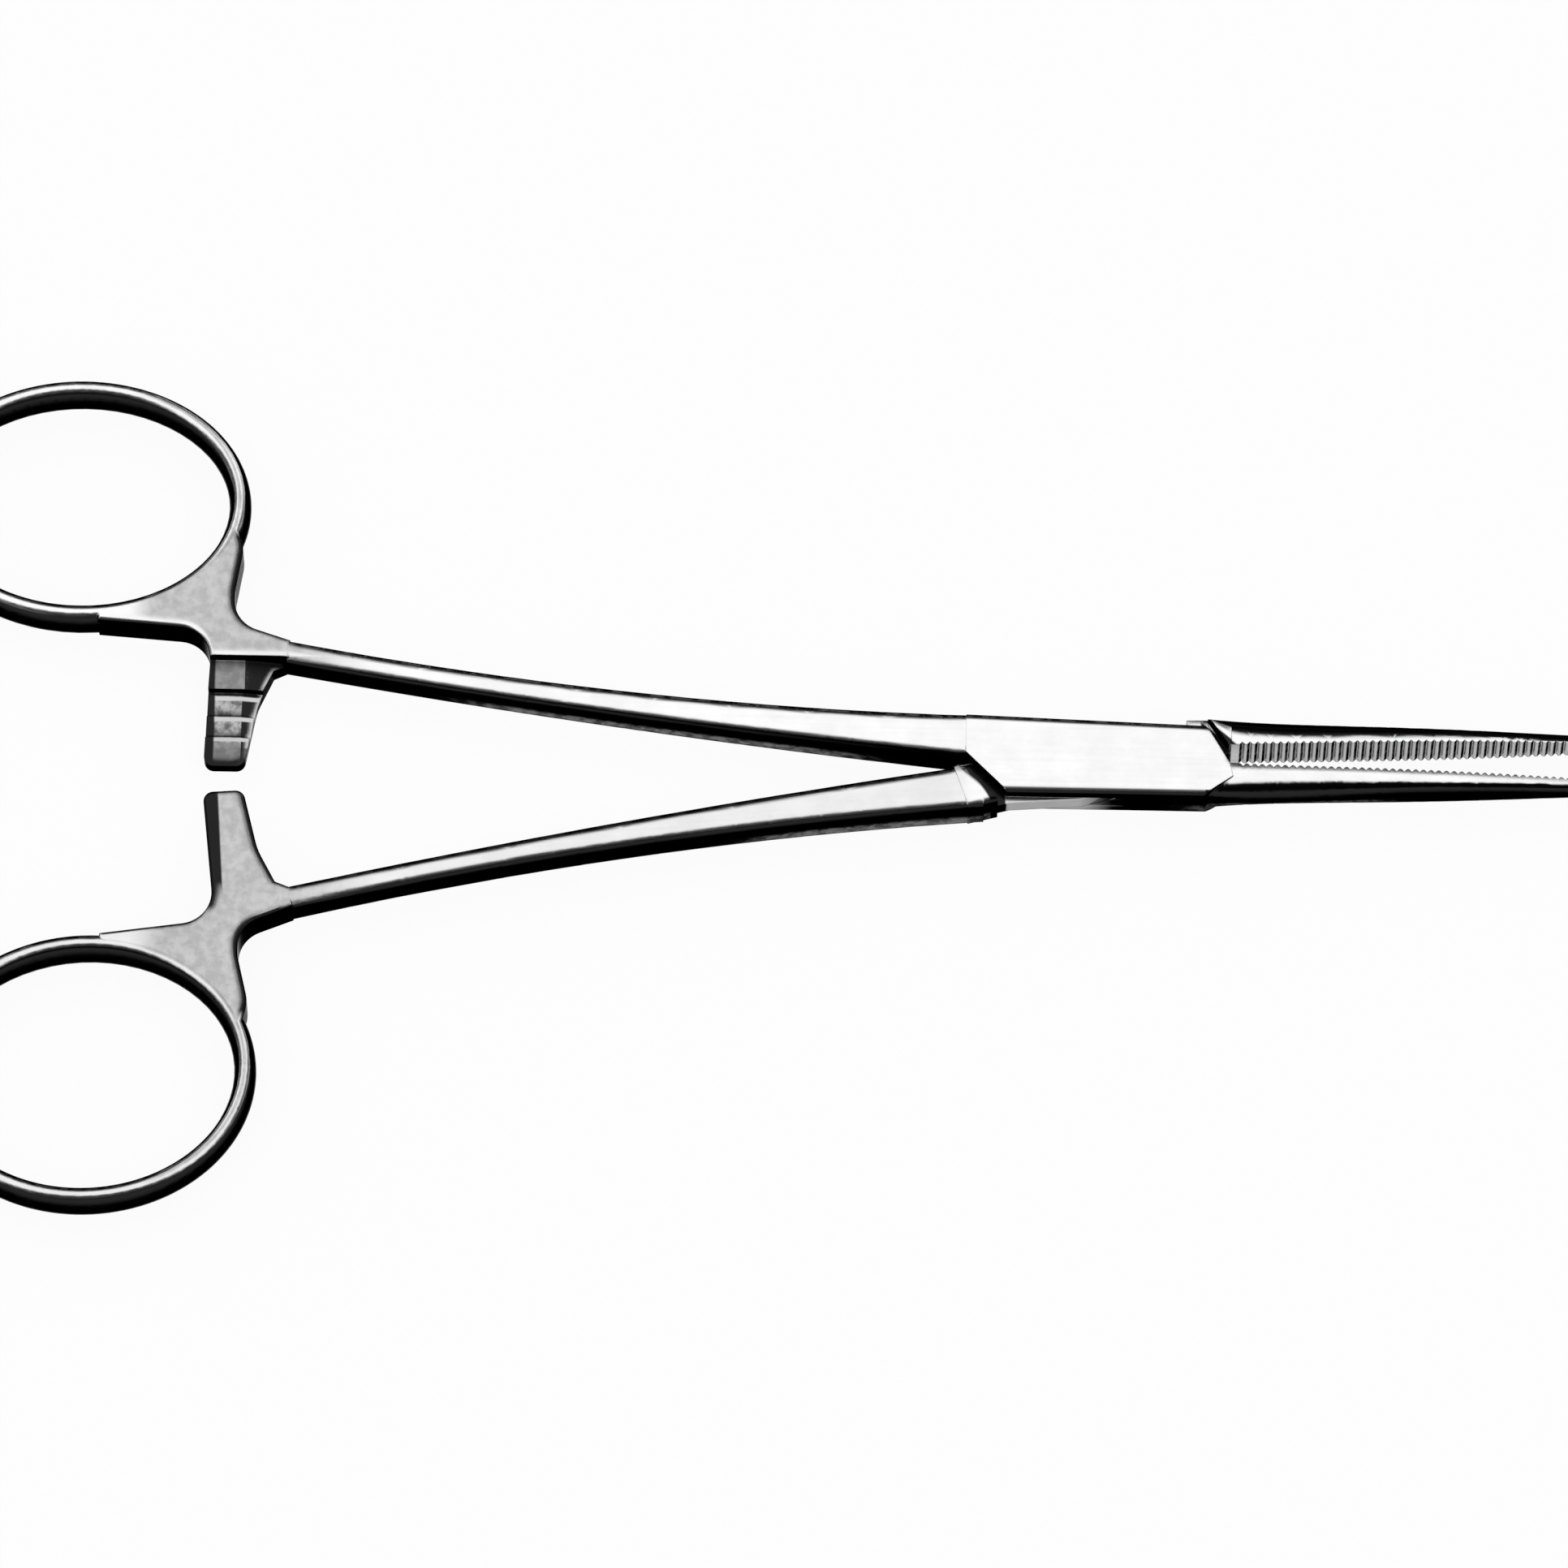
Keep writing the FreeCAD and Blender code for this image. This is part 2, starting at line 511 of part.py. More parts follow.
def jaw_tip_rounding(body):
    """Cut the end of the jaw to a half circle, seen from its side."""
    end = f"({cell('jaw_tip')} - {cell('jaw_tip_round')})"
    sketch = new_sketch(body, "TipOutline", "XZ_Plane")
    radius = size("jaw_tip_round")
    start_x = size("jaw_tip") - radius
    middle = size("box_thickness") / 2
    top = middle + radius
    low = middle - radius
    far_x = size("jaw_tip") + CUT_MARGIN
    circle = Part.Circle(FreeCAD.Vector(start_x, middle, 0), FreeCAD.Vector(0, 0, 1), radius)
    points = [(start_x, top), (start_x, top + CUT_MARGIN), (far_x, top + CUT_MARGIN)]
    points += [(far_x, low - CUT_MARGIN), (start_x, low - CUT_MARGIN), (start_x, low)]
    spots = [FreeCAD.Vector(x, y, 0) for x, y in points]
    sketch.addGeometry(Part.ArcOfCircle(circle, -math.pi / 2, math.pi / 2), False)
    for first, second in zip(spots, spots[1:]):
        sketch.addGeometry(Part.LineSegment(first, second), False)
    for i in range(5):
        sketch.addConstraint(Sketcher.Constraint("Coincident", i, 2, i + 1, 1))
    sketch.addConstraint(Sketcher.Constraint("Coincident", 5, 2, 0, 1))
    for i in (1, 3, 5):
        sketch.addConstraint(Sketcher.Constraint("Vertical", i))
    for i in (2, 4):
        sketch.addConstraint(Sketcher.Constraint("Horizontal", i))
    sketch.addConstraint(Sketcher.Constraint("Equal", 1, 5))
    pin_point(sketch, 0, 3, end, MIDDLE, FreeCAD.Vector(start_x, middle, 0))
    bind(sketch, Sketcher.Constraint("Radius", 0, radius), cell("jaw_tip_round"))
    bind(sketch, Sketcher.Constraint("DistanceX", 0, 3, 0, 2, 0), "0")
    sketch.addConstraint(Sketcher.Constraint("DistanceY", 1, 1, 1, 2, CUT_MARGIN))
    sketch.addConstraint(Sketcher.Constraint("DistanceX", 2, 1, 2, 2, radius + CUT_MARGIN))
    pocket(body, "TipRounding", sketch, "40", both_ways=True)


def serrations(body, side):
    """Row of fine grooves straight across the jaw face."""
    start = cell("serration_start")
    end = f"({cell('jaw_tip')} - {cell('jaw_tip_round')} / 2)"
    face_start = jaw_face(side, start)
    face_end = jaw_face(side, end)
    groove = new_sketch(body, "Groove", "XY_Plane", MIDDLE)
    groove.setExpression("AttachmentOffset.Base.x", start)
    groove.setExpression("AttachmentOffset.Base.y", face_start)
    groove.AttachmentOffset = FreeCAD.Placement(
        groove.AttachmentOffset.Base, FreeCAD.Rotation(FreeCAD.Vector(0, 0, 1), 1)
    )
    slope = f"atan(({face_end} - {face_start}) / ({end} - {start}))"
    groove.setExpression("AttachmentOffset.Rotation.Angle", slope)
    over = 0.3
    half = f"{cell('serration_width')} / 2 * (1 + {over} / {cell('serration_depth')})"
    corners = [(f"-({half})", f"{over}"), ("0", f"-{cell('serration_depth')}"), (half, f"{over}")]
    polygon(groove, [(x, f"{side} * ({y})") for x, y in corners])
    cut = pocket(body, "GrooveCut", groove, f"{cell('box_thickness')} * 2", both_ways=True)
    row = body.newObject("PartDesign::LinearPattern", "Serrations")
    row.Originals = [cut]
    row.Direction = (groove, ["H_Axis"])
    count = f"floor(({end} - {start}) / {cell('serration_pitch')})"
    row.setExpression("Length", f"{cell('serration_pitch')} * ({count} - 1)")
    row.setExpression("Occurrences", count)
    body.Tip = row


def runs_along_box(edge):
    """Long edge of the box block, on its top face or underside and near its side."""
    box = edge.BoundBox
    flat = box.ZLength < 0.01
    at_side = min(abs(box.YMin), abs(box.YMax)) > size("box_half_width") * 0.97
    return flat and at_side and box.XLength > 3


def pin_hole(body, diameter, name):
    """Round hole through the body on the pivot axis."""
    sketch = new_sketch(body, name, "XY_Plane", MIDDLE)
    circle = Part.Circle(FreeCAD.Vector(0, 0, 0), FreeCAD.Vector(0, 0, 1), size("pin_diameter") / 2)
    sketch.addGeometry(circle, False)
    sketch.addConstraint(Sketcher.Constraint("Coincident", 0, 3, -1, 1))
    bind(sketch, Sketcher.Constraint("Diameter", 0, size("pin_diameter")), diameter)
    pocket(body, f"{name}Cut", sketch, f"{cell('box_thickness')} * 2", both_ways=True)


def female_box(body):
    """Block of the box lock, between its two slanting steps."""
    half = cell("box_half_width")
    corners = [
        (f"-{cell('rear_step_inner')}", REAR_CORNER),
        (f"-{cell('rear_step_outer')}", f"-{half}"),
        (cell("front_step_outer"), f"-{half}"),
        (f"{cell('front_step_inner')} + 0.3", f"{FRONT_CORNER} - 1.2"),
        (cell("front_step_inner"), FRONT_CORNER),
        (cell("front_step_outer"), half),
        (f"-{cell('rear_step_inner')}", f"{half} + {cell('box_flare')}"),
    ]
    sketch = new_sketch(body, "BoxOutline", "XY_Plane", MIDDLE)
    polygon(sketch, corners)
    pad(body, "Box", sketch, cell("box_thickness"))
    round_edges(body, "BoxRounding", cell("box_round"), runs_along_box)


def female_slot(body):
    """Slot through the box, as wide as the tongue sweeps from closed to fully open."""
    reach = 30
    half = f"({cell('tongue_half_width')} + {cell('slot_clearance')})"
    closed = f"({cell('tongue_angle')} - {cell('opening_margin')} / 2)"
    opened = f"({cell('tongue_angle')} + {cell('full_opening')} + {cell('opening_margin')})"
    nose = f"({half} / cos(({opened} - {closed}) / 2 * 1 deg))"
    bisector = f"(({opened} + {closed}) / 2)"
    nose_x = f"(-{nose} * sin({bisector} * 1 deg))"
    nose_y = f"({nose} * cos({bisector} * 1 deg))"

    def along(angle, sign):
        return (f"{sign} * {reach} * cos({angle} * 1 deg)", f"{sign} * {reach} * sin({angle} * 1 deg)")

    closed_x, closed_y = along(closed, 1)
    opened_x, opened_y = along(opened, 1)
    corners = [
        (nose_x, nose_y),
        (f"{nose_x} - {closed_x}", f"{nose_y} - {closed_y}"),
        (f"-{nose_x} - {opened_x}", f"-{nose_y} - {opened_y}"),
        (f"-{nose_x}", f"-{nose_y}"),
        (f"-{nose_x} + {closed_x}", f"-{nose_y} + {closed_y}"),
        (f"{nose_x} + {opened_x}", f"{nose_y} + {opened_y}"),
    ]
    sketch = new_sketch(body, "SlotOutline", "XY_Plane", MIDDLE)
    polygon(sketch, corners)
    depth = f"{cell('tongue_thickness')} + 2 * {cell('slot_clearance')}"
    pocket(body, "Slot", sketch, depth, both_ways=True)


def male_block(body):
    """Block that carries the tongue, before it is milled. This half is drawn mirrored across X."""
    half = cell("box_half_width")
    drop = cell("tongue_side_drop")
    corners = [
        (f"-{cell('rear_step_inner')} - {cell('rear_step_gap')}", "-0.35"),
        (f"-{cell('rear_step_inner')} - 0.2", f"{REAR_CORNER} - 0.2 * {TONGUE_SLOPE}"),
        (f"{SIDE_CROSSING} - {drop} / {TONGUE_SLOPE}", f"{half} - {drop}"),
        (f"{cell('front_step_outer')} - {drop}", f"{half} - {drop}"),
        (cell("front_step_outer"), half),
        (f"{cell('front_step_inner')} + 0.3", f"{half} - 1.2"),
        (f"{cell('front_step_inner')} + 0.2", jaw_face(-1, cell("front_step_inner"))),
        (f"{cell('front_step_inner')} - 1.5", f"{FRONT_CORNER} - 1.5 * {TONGUE_SLOPE}"),
        (f"-{SIDE_CROSSING}", f"-{half}"),
        (f"-{cell('rear_step_outer')}", f"-{half}"),
        (f"-{cell('rear_step_inner')}", f"-{half} - {cell('box_flare')}"),
    ]
    sketch = new_sketch(body, "BlockOutline", "XY_Plane", MIDDLE)
    polygon(sketch, corners)
    pad(body, "Block", sketch, cell("box_thickness"))
    round_edges(body, "BlockRounding", cell("box_round"), runs_along_box)


def male_tongue(body):
    """Mill both sides of the block down to the tongue, between the two steps."""
    rear = cell("rear_step_gap")
    front = cell("front_step_gap")
    far = f"({cell('box_half_width')} + {cell('box_flare')} + {CUT_MARGIN})"
    half = cell("box_half_width")
    corners = [
        (f"-{cell('rear_step_inner')} - {rear}", far),
        (f"-{cell('rear_step_inner')} - {rear}", REAR_CORNER),
        (f"-{cell('rear_step_outer')} - {rear}", f"-{half}"),
        (f"-{cell('rear_step_outer')} - {rear}", f"-{far}"),
        (f"{cell('front_step_inner')} + {front}", f"-{far}"),
        (f"{cell('front_step_inner')} + {front}", FRONT_CORNER),
        (f"{cell('front_step_outer')} + {front}", half),
        (f"{cell('front_step_outer')} + {front}", far),
    ]
    for name, sign in (("Upper", 1), ("Lower", -1)):
        height = f"{MIDDLE} + {sign} * {cell('tongue_thickness')} / 2"
        sketch = new_sketch(body, f"{name}MillingOutline", "XY_Plane", height)
        polygon(sketch, corners)
        pocket(body, f"{name}Milling", sketch, cell("box_thickness"), upwards=sign > 0)


def new_half(label, turn):
    """A body that is turned about the pivot axis by a share of the opening at rest."""
    body = doc.addObject("PartDesign::Body", label)
    body.Label = label
    body.Placement = FreeCAD.Placement(
        FreeCAD.Vector(0, 0, 0), FreeCAD.Rotation(FreeCAD.Vector(0, 0, 1), 1)
    )
    body.setExpression("Placement.Rotation.Angle", f"{turn} * {cell('rest_opening')} / 2")
    return body


def common_forms(body, side, ring_height):
    """What both halves have: shank, ring, web, ratchet, jaw and serrations."""
    ratchet_web(body, side, ring_height)
    shank(body, side)
    jaw(body, side)
    finger_ring(body, side, ring_height)
    ratchet_teeth(body, side)
    jaw_tip_rounding(body)
    serrations(body, side)


def make_female_half():
    body = new_half("female_half", -1)
    female_box(body)
    common_forms(body, 1, cell("ring_height_female"))
    female_slot(body)
    pin_hole(body, cell("pin_diameter"), "PinSeat")
    return body


def make_male_half():
    body = new_half("male_half", 1)
    male_block(body)
    common_forms(body, -1, cell("ring_height_male"))
    male_tongue(body)
    pin_hole(body, f"{cell('pin_diameter')} + 2 * {cell('pin_clearance')}", "PinHole")
    return body


def make_pin():
    body = doc.addObject("PartDesign::Body", "pivot_pin")
    body.Label = "pivot_pin"
    sketch = new_sketch(body, "PinOutline", "XY_Plane")
    circle = Part.Circle(FreeCAD.Vector(0, 0, 0), FreeCAD.Vector(0, 0, 1), size("pin_diameter") / 2)
    sketch.addGeometry(circle, False)
    sketch.addConstraint(Sketcher.Constraint("Coincident", 0, 3, -1, 1))
    bind(sketch, Sketcher.Constraint("Diameter", 0, size("pin_diameter")), cell("pin_diameter"))
    pad(body, "Pin", sketch, cell("box_thickness"), both_ways=False)
    return body


pieces = [make_female_half(), make_male_half(), make_pin()]
doc.recompute()

failed = [o.Name for o in doc.Objects if "Invalid" in o.State or "Error" in o.State]
if failed:
    raise RuntimeError(f"failed objects: {failed}")
for piece in pieces:
    if piece.Shape.isNull() or not piece.Shape.isValid() or len(piece.Shape.Solids) != 1:
        raise RuntimeError(f"{piece.Label} is not one valid solid")

os.makedirs("parts", exist_ok=True)
for piece in pieces:
    piece.Shape.exportStep(f"parts/{piece.Label}.step")
    print(piece.Label, round(piece.Shape.Volume, 2), piece.Shape.BoundBox)
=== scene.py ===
import math

import bpy
from mathutils import Matrix, Vector


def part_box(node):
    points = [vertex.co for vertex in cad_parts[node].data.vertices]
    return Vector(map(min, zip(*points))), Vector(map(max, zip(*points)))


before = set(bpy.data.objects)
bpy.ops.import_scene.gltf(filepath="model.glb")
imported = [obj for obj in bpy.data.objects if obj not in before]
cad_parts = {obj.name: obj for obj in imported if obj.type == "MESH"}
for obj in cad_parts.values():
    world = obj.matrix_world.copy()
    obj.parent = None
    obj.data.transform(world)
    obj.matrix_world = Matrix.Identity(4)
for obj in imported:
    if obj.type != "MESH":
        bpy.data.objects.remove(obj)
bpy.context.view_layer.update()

# The photograph's view, in its own pixels and in millimetres
PHOTO_WIDTH = 1932
PIXELS_PER_MM = 13.5
PIVOT_PIXEL = (1357, 945)
VIEW_ELEVATION = math.radians(70)
VIEW_TURN = math.radians(-1)
CAMERA_DISTANCE = 1.6
SENSOR_WIDTH = 36.0
MM = 0.001

middle_height = (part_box("pivot_pin")[0][2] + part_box("pivot_pin")[1][2]) / 2


def add_object(name, data):
    """Link a new object with this data into the scene."""
    thing = bpy.data.objects.new(name, data)
    bpy.context.scene.collection.objects.link(thing)
    return thing


def make_camera():
    """Camera at the photograph's angle, with the pivot at its pixel."""
    centre = PHOTO_WIDTH / 2
    along = (centre - PIVOT_PIXEL[0]) / PIXELS_PER_MM * MM
    across = (PIVOT_PIXEL[1] - centre) / PIXELS_PER_MM / math.sin(VIEW_ELEVATION) * MM
    turn = Matrix.Rotation(VIEW_TURN, 4, "Z")
    target = turn @ Vector((along, across, middle_height))
    backward = turn @ Vector((0, -math.cos(VIEW_ELEVATION), math.sin(VIEW_ELEVATION)))
    side = turn @ Vector((1, 0, 0))
    up = backward.cross(side)
    data = bpy.data.cameras.new("camera")
    data.sensor_width = SENSOR_WIDTH
    data.lens = SENSOR_WIDTH * CAMERA_DISTANCE / (PHOTO_WIDTH / PIXELS_PER_MM * MM)
    data.clip_start = 0.01
    data.clip_end = 20
    camera = add_object("camera", data)
    turned = Matrix((side, up, backward)).transposed().to_4x4()
    camera.matrix_world = Matrix.Translation(target + backward * CAMERA_DISTANCE) @ turned
    bpy.context.scene.camera = camera


class Graph:
    """Short names for building a node tree."""

    def __init__(self, tree):
        self.nodes = tree.nodes
        self.links = tree.links

    def add(self, kind, settings=None, inputs=None):
        node = self.nodes.new(kind)
        for name, value in (settings or {}).items():
            setattr(node, name, value)
        for name, value in (inputs or {}).items():
            self.feed(node.inputs[name], value)
        return node

    def feed(self, socket, value):
        if isinstance(value, bpy.types.NodeSocket):
            self.links.new(value, socket)
        else:
            socket.default_value = value

    def math(self, operation, first, second=0.0):
        node = self.add("ShaderNodeMath", {"operation": operation}, {0: first, 1: second})
        return node.outputs[0]

    def ramp(self, value, low, high, start=0.0, end=1.0):
        """Smooth step of a value: start below low and end above high."""
        settings = {"interpolation_type": "SMOOTHSTEP"}
        inputs = {"Value": value, "From Min": low, "From Max": high, "To Min": start, "To Max": end}
        return self.add("ShaderNodeMapRange", settings, inputs).outputs["Result"]

    def fall(self, value, low, high):
        """Smooth step down: 1 below low and 0 above high."""
        return self.ramp(value, low, high, 1.0, 0.0)

    def between(self, value, low, high, soft):
        """Mask that is 1 where a value lies between two others."""
        rise = self.ramp(value, low - soft, low + soft)
        return self.times(rise, self.fall(value, high - soft, high + soft))

    def times(self, product, *factors):
        for factor in factors:
            product = self.math("MULTIPLY", product, factor)
        return product

    def split(self, vector):
        return tuple(self.add("ShaderNodeSeparateXYZ", None, {0: vector}).outputs)

    def noise(self, vector, scale, detail):
        inputs = {"Vector": vector, "Scale": scale, "Detail": detail, "Roughness": 0.6}
        return self.add("ShaderNodeTexNoise", None, inputs).outputs[0]

    def mix(self, factor, first, second):
        node = self.add("ShaderNodeMix", {"data_type": "FLOAT"})
        for socket, value in zip(node.inputs[:1] + node.inputs[2:4], (factor, first, second)):
            self.feed(socket, value)
        return node.outputs[0]


def new_material(name):
    """A node material, its node tree and its main shader."""
    material = bpy.data.materials.new(name)
    material.use_nodes = True
    return material, Graph(material.node_tree), material.node_tree.nodes["Principled BSDF"]


# Floor
FLOOR_HALF = 2.0
FLOOR_WHITE = 0.93
FLOOR_ROUGHNESS = 0.9
PAGE_SHARE = 0.93


def make_floor():
    """White page under the forceps. It keeps a faint part of their shadow."""
    mesh = bpy.data.meshes.new("floor")
    half = FLOOR_HALF
    corners = [(-half, -half, 0), (half, -half, 0), (half, half, 0), (-half, half, 0)]
    mesh.from_pydata(corners, [], [(0, 1, 2, 3)])
    floor = add_object("floor", mesh)
    material, graph, shader = new_material("floor_white")
    shader.inputs["Base Color"].default_value = (FLOOR_WHITE, FLOOR_WHITE, FLOOR_WHITE, 1)
    shader.inputs["Roughness"].default_value = FLOOR_ROUGHNESS
    shader.inputs["Specular IOR Level"].default_value = 0.0
    path = graph.add("ShaderNodeLightPath")
    seen = graph.math("MAXIMUM", path.outputs["Is Camera Ray"], path.outputs["Is Glossy Ray"])
    seen = graph.math("MAXIMUM", seen, path.outputs["Is Transmission Ray"])
    share = graph.math("MULTIPLY", seen, PAGE_SHARE)
    page = graph.add("ShaderNodeEmission", None, {"Color": (1, 1, 1, 1), "Strength": 1.0})
    mixed = graph.add("ShaderNodeMixShader", None, {0: share, 1: shader.outputs[0], 2: page.outputs[0]})
    graph.links.new(mixed.outputs[0], graph.nodes["Material Output"].inputs["Surface"])
    mesh.materials.append(material)


# Light: a bright soft panel overhead, dark towards the horizon
PANEL_LIGHT = 1.05
ROOM_LIGHT = 0.05
PANEL_TOWARDS_VIEWER = -0.72
PANEL_AWAY = 0.80
PANEL_SIDEWAYS = 0.86
PANEL_EDGE = 0.14
PANEL_LOWEST = 0.3


def make_light():
    """World light with the panel's edges set by direction."""
    world = bpy.data.worlds.new("studio")
    bpy.context.scene.world = world
    world.use_nodes = True
    graph = Graph(world.node_tree)
    coordinates = graph.add("ShaderNodeTexCoord")
    x, y, z = graph.split(coordinates.outputs["Generated"])
    depth = graph.between(y, PANEL_TOWARDS_VIEWER, PANEL_AWAY, PANEL_EDGE)
    sideways = graph.math("ABSOLUTE", x)
    width = graph.fall(sideways, PANEL_SIDEWAYS - PANEL_EDGE, PANEL_SIDEWAYS + PANEL_EDGE)
    above = graph.ramp(z, 0.0, PANEL_LOWEST)
    level = graph.mix(graph.times(depth, width, above), ROOM_LIGHT, PANEL_LIGHT)
    colour = graph.add("ShaderNodeCombineColor", None, {0: level, 1: level, 2: level})
    graph.links.new(colour.outputs[0], graph.nodes["Background"].inputs["Color"])


# Tones of the steel, with 1 as white
BRIGHT = 0.94
SHANK_GREY = 0.83
# Painted shade: near-black tone for steep sides, gaps, edge bands, slopes and jaw backs, then a painted
# reflection of the page at the sides' foot
PAINTED_SHADE = 0.022
PAINTED_FOOT_REFLECTION = 0.36
# Painted shade: grey for upright sides that look away from the viewer
BACK_SIDE_PAINTED_SHADE = 0.34
GROUND = 0.57
# Painted shade on the recessed shelf and in the tooth valleys and slopes, and painted highlights on the
# crests
SHELF_PAINTED_SHADE = 0.30
VALLEY_PAINTED_SHADE = 0.04
SLOPE_PAINTED_SHADE = 0.36
CREST_PAINTED_HIGHLIGHT = 0.62
# Painted shade: thin dark lines along the far edges and the ring's edge
EDGE_LINE_PAINTED_SHADE = 0.05
JAW_FACE = 0.9
# Painted shade in the jaw's grooves
GROOVE_PAINTED_SHADE = 0.2
# Painted light on the tongue's side under the box
TONGUE_SIDE_PAINTED_LIGHT = 0.72
EDGE_TINT = (0.1, 0.1, 0.1, 1)

# Radii of the worn edges and of the bands beside them, in metres
EDGE_RADIUS = 0.00018
BAND_RADIUS = 0.0012

# Brushing along the forceps, clouds and speckles, in waves per metre
GRAIN_SCALE = (90, 2600, 2600)
CLOUD_SCALE = 260.0
SPECKLE_SCALE = 1100.0

# Turn between a half's own straight frame and the forceps at rest. The places that follow are in that
# frame, in millimetres from the pivot. A pair is where a fade starts and ends, or what a span covers.
REST_TURN = math.radians(2.1)


class Surface:
    """Place on a half in its own straight frame, its direction, and the direction with broad round edges."""

    def __init__(self, graph, face_side):
        coordinates = graph.add("ShaderNodeTexCoord")
        straight = {"Vector": coordinates.outputs["Object"], "Rotation": (0, 0, REST_TURN * face_side)}
        self.place = graph.add("ShaderNodeMapping", None, straight).outputs[0]
        self.x, self.y, self.z = (graph.times(value, 1000) for value in graph.split(self.place))
        self.facing_x, self.facing_y, self.facing_z = graph.split(coordinates.outputs["Normal"])
        self.up = graph.math("ABSOLUTE", self.facing_z)
        rounded = graph.add("ShaderNodeBevel", {"samples": 8}, {"Radius": BAND_RADIUS})
        settings = {"vector_type": "NORMAL", "convert_from": "WORLD", "convert_to": "OBJECT"}
        turned = graph.add("ShaderNodeVectorTransform", settings, {0: rounded.outputs[0]})
        self.edge_x, self.edge_y = graph.split(turned.outputs[0])[:2]
        squares = (graph.math("POWER", value, 2.0) for value in (self.x, self.y))
        self.from_pin_squared = graph.math("ADD", *squares)


def brushed(graph, surface, turn):
    """Fine brushing along the forceps, slow cloudy wear and small speckles."""
    grain = {"Vector": surface.place, "Rotation": (0, 0, turn), "Scale": GRAIN_SCALE}
    stretch = graph.add("ShaderNodeMapping", None, grain)
    brushing = graph.noise(stretch.outputs[0], 1.0, 3.0)
    clouds = graph.noise(surface.place, CLOUD_SCALE, 4.0)
    return brushing, clouds, graph.noise(surface.place, SPECKLE_SCALE, 2.0)


# Painted reflection of the page at the foot of the painted dark sides: its stretches along each half, and
# the heights where it fades
FEMALE_FEET = ((-58, -22), (9, 26))
MALE_FEET = ((-32, -10),)
FOOT_FADE = 5.0
FOOT_HEIGHTS = (1.9, 3.1)


def painted_side_tone(graph, surface, speckle, female):
    """Painted shade on the sides, with a painted reflection of the page at their foot."""
    along = 0.0
    for low, high in FEMALE_FEET if female else MALE_FEET:
        along = graph.math("MAXIMUM", along, graph.between(surface.x, low, high, FOOT_FADE))
    low_down = graph.fall(surface.z, *FOOT_HEIGHTS)
    patchy = graph.ramp(speckle, 0.35, 0.65, 0.55, 1.1)
    towards_viewer = graph.fall(surface.facing_y, -0.5, -0.3)
    return graph.mix(graph.times(along, low_down, patchy, towards_viewer), PAINTED_SHADE, PAINTED_FOOT_REFLECTION)


# Ground web and ratchet bar
BAR_LEFT = -86.5
BAR_OUTER = -82.0
SHANK_JOIN = -75.3
SHANK_STEP = 0.5
WEB_START = (-89.5, BAR_LEFT)
WEB_END = (-76, -66)
LEVEL = (0.5, 0.7)
FLAT = (0.90, 0.98)


def ground_mask(graph, surface):
    """Flat ground faces of the web, without the small step at the shank."""
    along = graph.times(graph.ramp(surface.x, *WEB_START), graph.fall(surface.x, *WEB_END))
    past_step = graph.ramp(surface.x, SHANK_JOIN - SHANK_STEP, SHANK_JOIN)
    join = graph.times(past_step, graph.ramp(surface.up, *LEVEL))
    return graph.times(along, graph.math("MAXIMUM", join, graph.ramp(surface.up, *FLAT)))


# Bands of painted shade beside the edges of the web and bar, and the painted dark lines along the far edges
FEMALE_WEB_EDGE = 8.5
FEMALE_BAND = (BAR_OUTER + 0.8, BAR_OUTER + 1.0)
MALE_BAND = (BAR_OUTER + 1.3, BAR_OUTER + 1.5)
MALE_CURVE = (-10.8, -9.8)
MALE_BAR = (-9.0, -7.5)
BAND_REACH = (20.0, 21.0)
RING_END = (-88, -86)
JAW_ROOT = (11, 12)

# Squared distances from the pivot where the far-edge lines and the worn edges start, in square millimetres
LINES_FROM_PIN = (6.0, 6.5)
WEAR_FROM_PIN = (2.56, 3.072)


